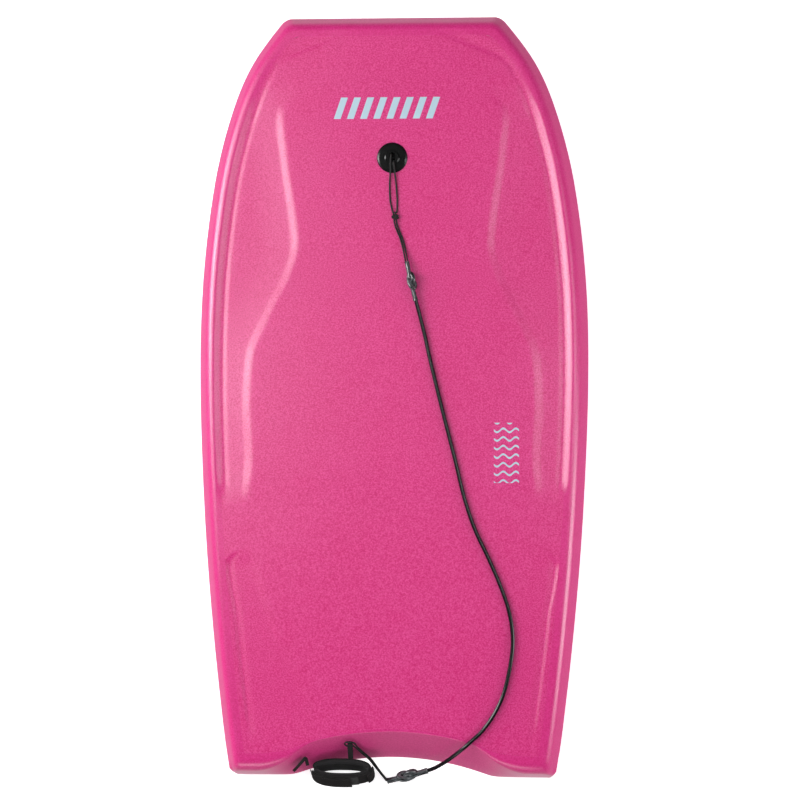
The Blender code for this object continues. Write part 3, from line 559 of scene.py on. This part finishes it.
# the board as if flat; the rocker bends it afterwards
board = {"nose": 0.535, "tail": -0.535, "thick": 55 * mm, "noseCorner": 8 * mm, "tailCorner": 9 * mm,
         "sideShare": 0.9, "cornerShare": 0.1, "rockerStart": 0.100, "lift": 30 * mm, "thinning": 0.18,
         "low": 1.8 * mm, "seam": 29.5 * mm, "joint": 0.05 * mm, "bite": 26.7 * mm, "biteRadius": 0.370,
         "biteBlend": 3 * mm, "wallRun": 42 * mm, "foot": 5 * mm, "legShare": 0.33, "legs": (0.100, 0.190),
         "joinBehind": 4 * mm, "joinOnLegs": 19 * mm}
outline = [(-0.620, 0.213), (-0.535, 0.229), (-0.457, 0.2405), (-0.305, 0.257), (-0.152, 0.2685),
           (0.030, 0.275), (0.170, 0.2712), (0.305, 0.2546), (0.400, 0.2305), (0.470, 0.2005),
           (0.535, 0.1515), (0.600, 0.090)]
# the deck's grip contours; each is a line of (y, x) stations
contour = {
    "padEdge": [(-0.25, 0.200), (-0.160, 0.2035), (-0.117, 0.204), (-0.090, 0.202), (-0.055, 0.203),
                (-0.019, 0.2055), (0.030, 0.204), (0.068, 0.199), (0.097, 0.187), (0.136, 0.168),
                (0.165, 0.1525), (0.204, 0.139), (0.225, 0.138), (0.267, 0.143), (0.312, 0.150),
                (0.345, 0.154), (0.387, 0.1585), (0.406, 0.154), (0.418, 0.142), (0.439, 0.121), (0.463, 0.083),
                (0.484, 0.060), (0.500, 0.044), (0.530, 0.020)],
    "padSlope": 14 * mm, "padRise": 0.45 * mm, "floor": 2.1 * mm, "settle": 1.7 * mm, "settleRun": 52 * mm,
    "valley": 0.9 * mm, "valleyAt": 35.5 * mm, "valleyIn": 6.5 * mm, "crest": 21.7 * mm,
    "padEnd": (-0.150, -0.104), "valleyEnd": (-0.150, -0.085),
    "noseLine": (0.085, 0.504, -0.40), "noseFade": (0.055, 0.100), "noseStart": (0.40, 0.47),
    "noseBlend": 9 * mm, "floorStop": (0.385, 0.440), "floorStopShare": 0.92,
    "tailLine": [(-0.520, 0.192), (-0.466, 0.200), (-0.410, 0.207), (-0.337, 0.216), (-0.300, 0.220),
                 (-0.266, 0.2265), (-0.240, 0.2300), (-0.2285, 0.2290), (-0.213, 0.212), (-0.19, 0.18)],
    "tailInner": [(-0.520, 0.085), (-0.448, 0.1125), (-0.405, 0.128), (-0.352, 0.150), (-0.319, 0.167),
                  (-0.270, 0.182), (-0.220, 0.197), (-0.180, 0.205)],
    "tailDepth": 1.7 * mm, "tailRest": 0.7 * mm, "tailFade": ((-0.238, -0.212), (-0.485, -0.435)),
    "tailWall": (-3.5 * mm, 2.5 * mm), "tailFloor": (2.5 * mm, 11 * mm), "tailRise": (-8 * mm, 8 * mm)}


def rocker(point):
    share = max(0, (point[1] - board["rockerStart"]) / (board["nose"] - board["rockerStart"])) ** 2
    return Vector((point[0], point[1], point[2] * (1 - board["thinning"] * share) + board["lift"] * share))


def roundOff(radius, inset):
    # how far a rounded corner stands back at this distance in from its edge
    return radius - math.sqrt(max(0, radius**2 - (radius - inset)**2)) if inset < radius else 0


def sideX(y, inset):
    value, slope = smoothValue(outline, y)
    toNose = board["nose"] - inset - y
    return value - inset * math.hypot(1, slope) - roundOff(board["noseCorner"], max(toNose, 0))


def crescent(x):
    bite = board["bite"] - x * x / (2 * board["biteRadius"])
    return 0.5 * (bite + math.hypot(bite, board["biteBlend"]))


def legness(x):
    return smoothstep(abs(x), *board["legs"])


def wallRun(x):
    # how far the tail wall leans forward, much less on the legs
    return board["wallRun"] * (1 - (1 - board["legShare"]) * legness(x))


def tailWall(x, z):
    climb = min(max((z - board["foot"]) / (board["thick"] - board["foot"]), 0), 1)
    return board["tail"] + crescent(x) + wallRun(x) * climb


def tailJoin(x):
    # where the tail's skin hands over to deck and rails
    return tailWall(x, board["thick"]) + board["joinBehind"] + board["joinOnLegs"] * legness(x)


def topHeight(x, y):
    # height of the moulded deck and the rail's inner side over the hull, before the rocker
    side = abs(x)
    edge, slope = smoothValue(outline, y)
    inset = (edge - side) / math.hypot(1, slope)
    cx, cy, cs = contour["noseLine"]
    noseInset = contour["valleyAt"] + (cy + cs * (side - cx) - y) / math.hypot(1, cs)
    soft = contour["noseBlend"]
    gap = abs(inset - noseInset)
    inset = min(inset, noseInset) - max(0, soft - gap) ** 2 / (4 * soft)
    ahead = smoothstep(side, *contour["noseFade"])          # the nose groove fades towards the middle
    nose = 1 - (1 - ahead) * smoothstep(y, *contour["noseStart"])
    floorStop = 1 - contour["floorStopShare"] * smoothstep(y, *contour["floorStop"])
    floorFade = smoothstep(y, *contour["padEnd"]) * nose * floorStop
    valleyFade = smoothstep(y, *contour["valleyEnd"]) * nose
    padX, padSlope = smoothValue(contour["padEdge"], y)
    offPad = (side - padX) / math.hypot(1, padSlope)
    low = contour["floor"] * floorFade * smoothstep(offPad, -contour["padSlope"] / 2, contour["padSlope"] / 2)
    far = min(max(0, offPad) / contour["settleRun"], 1)
    low += contour["settle"] * floorFade * 1.5 * (far - far**3 / 3) - contour["padRise"] * floorFade
    valley = contour["valley"] * valleyFade
    if inset >= contour["valleyAt"]:
        valleyEnd = contour["valleyAt"] + contour["valleyIn"]
        depth = low + valley * (1 - smoothstep(inset, contour["valleyAt"], valleyEnd))
    else:
        depth = (low + valley) * smoothstep(inset, contour["crest"], contour["valleyAt"])
    within = smoothValue(contour["tailLine"], y)[0] - side
    tail = (1 - smoothstep(y, *contour["tailFade"][0])) * smoothstep(y, *contour["tailFade"][1])
    shallower = (contour["tailDepth"] - contour["tailRest"]) * smoothstep(within, *contour["tailFloor"])
    groove = smoothstep(within, *contour["tailWall"]) * (contour["tailDepth"] - shallower)
    inner = smoothstep(side - smoothValue(contour["tailInner"], y)[0], *contour["tailRise"])
    return board["thick"] - depth - tail * groove * inner


# rail section: (inset, height) from the hull edge up round the chine to the crest, in mm
railOuter = [(10.0, 1.8), (9.2, 2.4), (8.2, 4.4), (5.4, 11.1), (2.6, 17.8), (0.9, 21.9), (0.25, 23.3),
             (0.0, 24.2), (0.15, 25.2), (0.7, 26.8), (3.0, 31.9), (6.0, 38.2), (9.0, 44.4), (10.6, 47.4),
             (12.0, 49.6), (13.6, 51.5), (15.4, 53.1), (17.2, 54.2), (19.2, 54.85), (21.5, 55.0)]
railInner = [(29.5, 50.0), (20.5, 50.0), (5.5, 24.0), (15.3, 1.8)]
railAbove = [(a * mm, b * mm) for a, b in railOuter[7:]]
railBelow = [(a * mm, b * mm) for a, b in reversed(railOuter[:8])]


def heightOn(line, inset):
    for (a, za), (b, zb) in zip(line, line[1:]):
        if inset <= b:
            return za + (zb - za) * max(0, inset - a) / (b - a)
    return None


def railTop(inset):
    # height of the rail's outside, from its widest line in to the crest, and nothing further in
    return heightOn(railAbove, inset)


def railLow(inset):
    # height of the rail's lower chine, from its widest line in to the hull
    height = heightOn(railBelow, inset)
    return board["low"] if height is None else height


def topAt(x, y):
    # the whole upper surface, rails included
    edge, slope = smoothValue(outline, y)
    rail = railTop((edge - abs(x)) / math.hypot(1, slope))
    return topHeight(x, y) if rail is None else rail


def stationY(inset, share, start):
    # sides take the first part of a band's length, the nose corner the rest
    cornerStart = board["nose"] - inset - board["noseCorner"]
    if share <= board["sideShare"]:
        return start + (cornerStart - start) * share / board["sideShare"]
    turned = (share - board["sideShare"]) / board["cornerShare"] * math.pi / 2
    return cornerStart + board["noseCorner"] * math.sin(turned)


def joinStart(inset):
    # where a band at this inset begins, behind the tail's skin
    y = -0.50
    for _ in range(6):
        y = tailJoin(sideX(y, inset)) + board["joint"]
    return y


deck = {"under": 49.85 * mm, "rimGap": 0.03 * mm, "plugY": 0.336, "hole": 16 * mm, "holeRims": 60 * mm,
        "fine": (200, 400), "coarse": (60, 120)}


def buildDeck():
    # fine on top for the contours, coarse below, open round the plug; the rims are bridged
    inset = board["seam"] + deck["rimGap"]
    noseY = board["nose"] - inset
    noseHalf = sideX(noseY - 1e-6, inset)

    def placer(height):
        def place(u, v):
            across = 2 * u - 1
            y = -0.2
            for _ in range(9):
                x = across * (sideX(y, inset) if y < noseY - 1e-6 else noseHalf)
                start = tailJoin(x) + board["joint"]
                y = start + (noseY - start) * v
            return rocker((x, y, height(x, y)))
        return place

    def fromPlug(spot):
        return math.hypot(spot.x, spot.y - deck["plugY"])

    bm = bmesh.new()
    gridSheet(bm, *deck["fine"], placer(topHeight))
    gridSheet(bm, *deck["coarse"], placer(lambda x, y: deck["under"]))
    hidden = [f for f in bm.faces if fromPlug(f.calc_center_median()) < deck["hole"]]
    bmesh.ops.delete(bm, geom=hidden, context="FACES")
    rims = [e for e in bm.edges if e.is_boundary]
    hole = [e for e in rims if fromPlug(e.verts[0].co) < deck["holeRims"]]
    rest = [e for e in rims if fromPlug(e.verts[0].co) >= deck["holeRims"]]
    bmesh.ops.bridge_loops(bm, edges=hole)
    bmesh.ops.bridge_loops(bm, edges=rest)
    finish("deck_skin_moulded", bm, deckFoam, "board", replaced=("deck_skin",), sharp=60)


def buildRails():
    # one section led from the tail round the nose and back, closed on itself
    inner = [22.5 + k for k in range(8)]        # here the deck's own height is taken
    section = ([(a * mm, b * mm) for a, b in railOuter] + [(a * mm, None) for a in inner]
               + [(a * mm, b * mm) for a, b in railInner])
    starts = [joinStart(inset) for inset, height in section]
    sideRows, noseRows = 150, 70
    half = sideRows + noseRows
    count = len(section)

    def place(u, v):
        i = round(u * count) % count
        j = round(v * 2 * half)
        mirrored = j > half
        k = 2 * half - j if mirrored else j
        inset, height = section[i]
        if k <= sideRows:
            y = stationY(inset, k / sideRows, starts[i])
            x = sideX(y, inset)
        else:
            y = board["nose"] - inset
            x = sideX(y - 1e-7, inset) * (1 - (k - sideRows) / noseRows)
        point = rocker((x, y, topHeight(x, y) if height is None else height))
        if mirrored:
            point.x = -point.x
        return point

    bm = bmesh.new()
    gridSheet(bm, count, 2 * half, place)
    closeSheet(bm)
    finish("rail_band_moulded", bm, railFoam, "board", replaced=("rail_band",), sharp=50)


tail = {"arcSteps": 10, "wallSteps": 6, "crisp": 3.0, "softer": 17, "chine": 0.8 * mm, "deep": 5 * mm,
        "skin": 4.7 * mm, "crest": 21.5 * mm}
# columns of the tail, as insets from its sides in mm, close together at the corners
tailInsets = [29.5, 27, 24.5, 22, 20, 18.2, 16.4, 15, 13.6, 12.4, 11, 9, 7.5, 6, 4.8, 3.7, 2.7, 1.9, 1.2,
              0.7, 0.35]


def buildTail():
    # the tail wall with its rolled upper edge, crisp in the crescent and soft on the legs
    width = sideX(board["tail"], 0)
    inner = width - board["seam"]
    ends = [width - inset * mm for inset in tailInsets]
    xs = [-x for x in reversed(ends)] + [inner * (k / 60) for k in range(-59, 60)] + ends

    def widen(x, y):
        # the outline widens ahead of the tail, and the tail's skin with it
        seamHalf = sideX(board["tail"], board["seam"])
        if abs(x) <= seamHalf:
            return x * sideX(y, board["seam"]) / seamHalf
        return math.copysign(sideX(y, width - abs(x)), x)

    def profile(x):
        inset = width - abs(x)
        corner = roundOff(board["tailCorner"], inset)
        joinX = x
        for _ in range(6):
            join = tailJoin(joinX)
            joinX = widen(x, join)
        top = topAt(joinX, join) if inset > tail["crest"] else railTop(inset)
        low = railLow(inset)

        def wall(z):
            return tailWall(x, z) + corner

        lean = math.atan2(board["thick"] - board["foot"], wallRun(x))
        radius = min((tail["crisp"] + tail["softer"] * legness(x)) * mm, 0.75 * (top - low))
        centre = (wall(top) + radius * math.tan(lean / 2), top - radius)
        points = [(join, top)]
        for k in range(tail["arcSteps"] + 1):
            phi = lean * k / tail["arcSteps"]
            points.append((centre[0] - radius * math.sin(phi), centre[1] + radius * math.cos(phi)))
        endZ = points[-1][1]
        foot = low + tail["chine"]
        for k in range(1, tail["wallSteps"]):
            z = endZ + (foot - endZ) * k / (tail["wallSteps"] - 1)
            points.append((wall(z), z))
        points.append((wall(low) + tail["chine"], low))
        points.append((wall(low) + tail["deep"], low))
        if inset < board["seam"] - 1 * mm:      # solid through under the rails, a skin between them
            points.append(((wall(low) + tail["deep"] + join) / 2, low))
            points.append((join, low + 0.2 * mm))
        else:
            points.append((wall(top - tail["deep"]) + tail["deep"], top - tail["deep"]))
            points.append((join, top - tail["skin"]))
        return points

    profiles = [[rocker((widen(x, y), y, z)) for y, z in profile(x)] for x in xs]
    columns, rows = len(profiles[0]), len(xs) - 1
    bm = bmesh.new()
    gridSheet(bm, columns, rows, lambda u, v: profiles[round(v * rows)][round(u * columns) % columns])
    closeSheet(bm)
    finish("tail_band_moulded", bm, railFoam, "board", replaced=("tail_band",), sharp=50)


buildDeck()
buildRails()
buildTail()
print("board ready")


# the cuff, flat plies bent round one rim
cuff = {"centre": (-0.0705, -0.5355), "halfLength": 45.2 * mm, "halfDepth": 17 * mm, "roundness": 2.5,
        "floor": 0.4 * mm, "width": 37.5 * mm, "lean": math.radians(25), "steps": 720}
# each ply as (from, to) round the cuff and (outer, inner) inset, as in the parts
plies = {"cuff_flap": (0.012, 0.3085, 0.0, 1.5), "cuff_hook_patch": (0.165, 0.300, 1.7, 2.5),
         "cuff_loop_patch": (0.020, 0.360, 2.8, 3.7), "cuff_strap": (0.030, 0.985, 3.7, 5.3),
         "cuff_lining": (0.004, 0.990, 5.2, 10.2), "cuff_strap_end": (0.425, 0.515, 0.5, 3.6)}
widthways = Vector((0, math.sin(cuff["lean"]), math.cos(cuff["lean"])))


def cuffRim():
    fine = []
    power = 2 / cuff["roundness"]
    for k in range(cuff["steps"] + 1):
        turn = math.pi + 2 * math.pi * k / cuff["steps"]
        c, s = math.cos(turn), math.sin(turn)
        x = cuff["centre"][0] + cuff["halfLength"] * math.copysign(abs(c) ** power, c)
        y = cuff["centre"][1] + cuff["halfDepth"] * math.copysign(abs(s) ** power, s)
        fine.append(Vector((x, y, cuff["floor"])))
    return fine


rim = cuffRim()
rimAlong = runningLength(rim)


def rimPoint(share, inset):
    target = rimAlong[-1] * share
    j = max(i for i in range(cuff["steps"]) if rimAlong[i] <= target)
    spot = rim[j].lerp(rim[j + 1], (target - rimAlong[j]) / (rimAlong[j + 1] - rimAlong[j]))
    before, after = rim[(j - 6) % cuff["steps"]], rim[(j + 7) % cuff["steps"]]
    inward = Vector((before.y - after.y, after.x - before.x, 0)).normalized()
    return spot + inward * inset


def plySheet(name, surface, columns, rows, trim=0.0, edge=0.35, lump=None, body="board", sharp=60):
    # a ply of the cuff: a flat strip, its edges rounded over this many mm, bent round and leaning
    start, end, outer, inner = plies[name]
    outer, inner = outer * mm, inner * mm
    middle, half = (outer + inner) / 2, (inner - outer) / 2
    span = cuff["width"] - 2 * trim
    soft = edge * mm
    # (share across the width, side) round the strip: up the outside, down the inside
    section = [(k / columns, 1) for k in range(columns + 1)]
    section += [(1 - k / columns, -1) for k in range(columns + 1)]
    count = len(section)
    length = rimAlong[-1] * (end - start)
    shares = [start + (end - start) * k / rows for k in range(rows + 1)]
    samples = [(rimPoint(share, middle), rimPoint(share, middle - mm)) for share in shares]

    def place(u, v):
        share, side = section[round(u * count) % count]
        k = round(v * rows)
        mid, out = samples[k]
        normal = (out - mid).normalized()
        across = trim + span * share
        fromEdge = min(share, 1 - share) * span
        fromEnd = min(v, 1 - v) * length
        full = min(1, math.sqrt(max(0, 1 - (1 - min(1, fromEdge / soft + 0.25)) ** 2)))
        full *= min(1, 0.45 + 0.55 * math.sqrt(min(1, fromEnd / soft)))
        bump = lump(v, share) if lump else 0
        return mid + normal * (side * half * full + (bump if side > 0 else 0)) + widthways * across

    bm = bmesh.new()
    gridSheet(bm, count, rows, place, (span * 2, length))
    closeSheet(bm)
    return finish(name + "_sewn", bm, surface, body, replaced=(name,), sharp=sharp)


plySheet("cuff_lining", neoprene, 14, 150, edge=2.4)
plySheet("cuff_strap", webbing, 16, 150, trim=0.2 * mm)
plySheet("cuff_loop_patch", pile, 10, 60, trim=1 * mm,
         lump=lambda v, s: 1.0 * mm * (1 - smoothstep(v, 0.28, 0.38)))
plySheet("cuff_strap_end", webbing, 14, 30, trim=2 * mm, edge=0.9,
         lump=lambda v, s: 0.35 * mm * math.sin(v * math.pi * 3) * math.sin(s * math.pi))
plySheet("cuff_hook_patch", pile, 10, 30, trim=3 * mm, body="cuff_flap")
flap = plySheet("cuff_flap", webbing, 16, 70, trim=0.1 * mm, body=None)
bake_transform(flap)


# thread stitches in mm, and the rows of them on the cuff's tapes
stitch = {"thick": 0.32, "out": 0.15, "sunk": 0.12, "fromEdge": 2.6 * mm, "half": 0.32}
stitchRows = {"strap_stitch": {"ply": "cuff_strap", "body": "board", "first": 0.54, "last": 0.96,
                               "count": 30},
              "flap_stitch": {"ply": "cuff_flap", "body": "cuff_flap", "first": 0.170, "last": 0.300,
                              "count": 12}}


def stitchRow(name, across, ply, body, first, last, count):
    # short fat bars of thread that sink into the tape at their ends
    outer = plies[ply][2]
    reach = stitch["half"] * (last - first) / count
    bm = bmesh.new()
    for k in range(count):
        share = first + (last - first) * (k + 0.5) / count
        points = []
        for step in (-1, -0.5, 0, 0.5, 1):
            lift = stitch["out"] * mm * (1 - step * step) - stitch["sunk"] * mm
            points.append(rimPoint(share + reach * step, outer * mm - lift) + widthways * across)
        tubeMesh(bm, points, stitch["thick"] * mm, 6)
    finish(name, bm, string, body, sharp=80)


for name, row in stitchRows.items():
    stitchRow(name + "_low", stitch["fromEdge"], **row)
    stitchRow(name + "_high", cuff["width"] - stitch["fromEdge"], **row)


def buildKeeper():
    # a loop of narrow tape standing at the back of the cuff, its foot sewn down
    foot, head = Vector((-0.0580, -0.5042, 0.0310)), Vector((-0.0580, -0.4865, 0.0444))
    along = (head - foot).normalized()
    out = Vector((1, 0, 0)).cross(along)
    radius, thick, width = 3.2 * mm, 1.2 * mm, 7 * mm
    path = []
    for middle, side in ((head, 1), (foot, -1)):
        for k in range(13):
            turned = math.pi * k / 12
            path.append((middle, side * (out * math.cos(turned) + along * math.sin(turned))))
    rows = len(path)
    corners = [(-0.5, 0), (-0.5, 1), (-0.3, 1.08), (0, 1.1), (0.3, 1.08), (0.5, 1), (0.5, 0), (0.3, -0.05),
               (0, -0.08), (-0.3, -0.05)]

    def place(u, v):
        middle, ray = path[round(v * rows) % rows]
        across, depth = corners[round(u * len(corners)) % len(corners)]
        return middle + ray * (radius - thick + thick * depth) + Vector((across * width, 0, 0))

    bm = bmesh.new()
    gridSheet(bm, len(corners), rows, place, (2 * width, 70 * mm))
    bmesh.ops.remove_doubles(bm, verts=bm.verts, dist=1e-6)
    finish("cuff_keeper_sewn", bm, narrowWebbing, "board", replaced=("cuff_keeper",),
           sharp=50)


def buildTab():
    # a folded tab of tape standing on its edge
    route = [(-0.1185, -0.5172, 0.0285), (-0.1193, -0.5130, 0.0315), (-0.1202, -0.5078, 0.0352),
             (-0.1218, -0.5064, 0.0358), (-0.1235, -0.5088, 0.0350), (-0.1302, -0.5165, 0.0320),
             (-0.1385, -0.5255, 0.0275)]
    points = smoothRoute(route, 1 * mm)
    rows = len(points) - 1
    halfThick, width = 1.9 * mm, 8 * mm
    corners = [(-1, 0), (-1, 0.25), (-1.1, 0.5), (-1, 0.75), (-1, 1), (1, 1), (1, 0.75), (1.1, 0.5),
               (1, 0.25), (1, 0)]

    def place(u, v):
        k = round(v * rows)
        ahead = points[min(k + 1, rows)] - points[max(k - 1, 0)]
        side = Vector((-ahead.y, ahead.x, 0)).normalized()
        across, rise = corners[round(u * len(corners)) % len(corners)]
        return points[k] + side * (across * halfThick) + Vector((0, 0, rise * width))

    bm = bmesh.new()
    gridSheet(bm, len(corners), rows, place, (18 * mm, 40 * mm))
    closeSheet(bm)
    finish("cuff_pull_tab_sewn", bm, narrowWebbing, "board", replaced=("cuff_pull_tab",),
           sharp=50)


buildKeeper()
buildTab()
print("cuff ready")

# the parts that keep their own shape get their finish
plainParts = {"slick_skin": hullPlastic, "foam_core": beads, "plug_top": plugPlastic,
              "plug_bottom": plugPlastic}
for name, surface in plainParts.items():
    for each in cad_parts[name].material_slots:
        each.material = surface

# studio
studio = {"paper": "#f4f4f4", "glow": 0.7, "reach": 9, "wall": 9, "wallMiddle": 4, "fill": 0.06}
paper = newMaterial("matt paper sweep", Base_Color=hexColour(studio["paper"]), Roughness=0.9,
                    Emission_Color=(1, 1, 1, 1), Emission_Strength=studio["glow"])[0]


def studioPiece(name, bm):
    mesh = bpy.data.meshes.new(name)
    bm.to_mesh(mesh)
    bm.free()
    mesh.materials.append(paper)
    made = bpy.data.objects.new(name, mesh)
    made.visible_glossy = False
    bpy.context.scene.collection.objects.link(made)
    return made


bm = bmesh.new()
bmesh.ops.create_grid(bm, x_segments=1, y_segments=1, size=studio["reach"])
floor = studioPiece("floor", bm)

# a pale surround far behind, so low views end in paper too
bm = bmesh.new()
bmesh.ops.create_cone(bm, segments=96, radius1=studio["reach"], radius2=studio["reach"], depth=studio["wall"],
                      matrix=Matrix.Translation((0, 0, studio["wallMiddle"])))
surround = studioPiece("surround", bm)
surround.visible_diffuse = surround.visible_shadow = False

world = bpy.data.worlds.new("studio")
bpy.context.scene.world = world
world.use_nodes = True
world.node_tree.nodes["Background"].inputs["Color"].default_value = (1, 1, 1, 1)
world.node_tree.nodes["Background"].inputs["Strength"].default_value = studio["fill"]
bpy.context.scene.view_settings.view_transform = "Standard"

lights = {"left": {"spot": (-1.55, 0.25, 2.05), "size": (0.5, 2.0), "power": 27.5, "aim": (0.0, 0.0, 0.0)},
          "side": {"spot": (-2.2, 0.6, 1.1), "size": (0.8, 2.2), "power": 41, "aim": (-0.2, 0.0, 0.0)},
          "right": {"spot": (2.3, -0.5, 0.8), "size": (0.8, 2.2), "power": 30, "aim": (0.2, 0.0, 0.0)},
          "tail": {"spot": (-0.6, -2.3, 1.0), "size": (1.6, 0.6), "power": 10, "aim": (0.0, -0.5, 0.0)},
          "strip": {"spot": (1.25, 0.15, 2.2), "size": (0.2, 1.6), "power": 9, "aim": (0.15, 0.0, 0.0)}}
for name, setting in lights.items():
    lamp = bpy.data.lights.new(name, "AREA")
    lamp.shape = "RECTANGLE"
    lamp.size, lamp.size_y = setting["size"]
    lamp.energy = setting["power"]
    lampObject = bpy.data.objects.new(name, lamp)
    bpy.context.scene.collection.objects.link(lampObject)
    lampObject.location = setting["spot"]
    direction = Vector(setting["aim"]) - Vector(setting["spot"])
    lampObject.rotation_euler = direction.to_track_quat("-Z", "Y").to_euler()
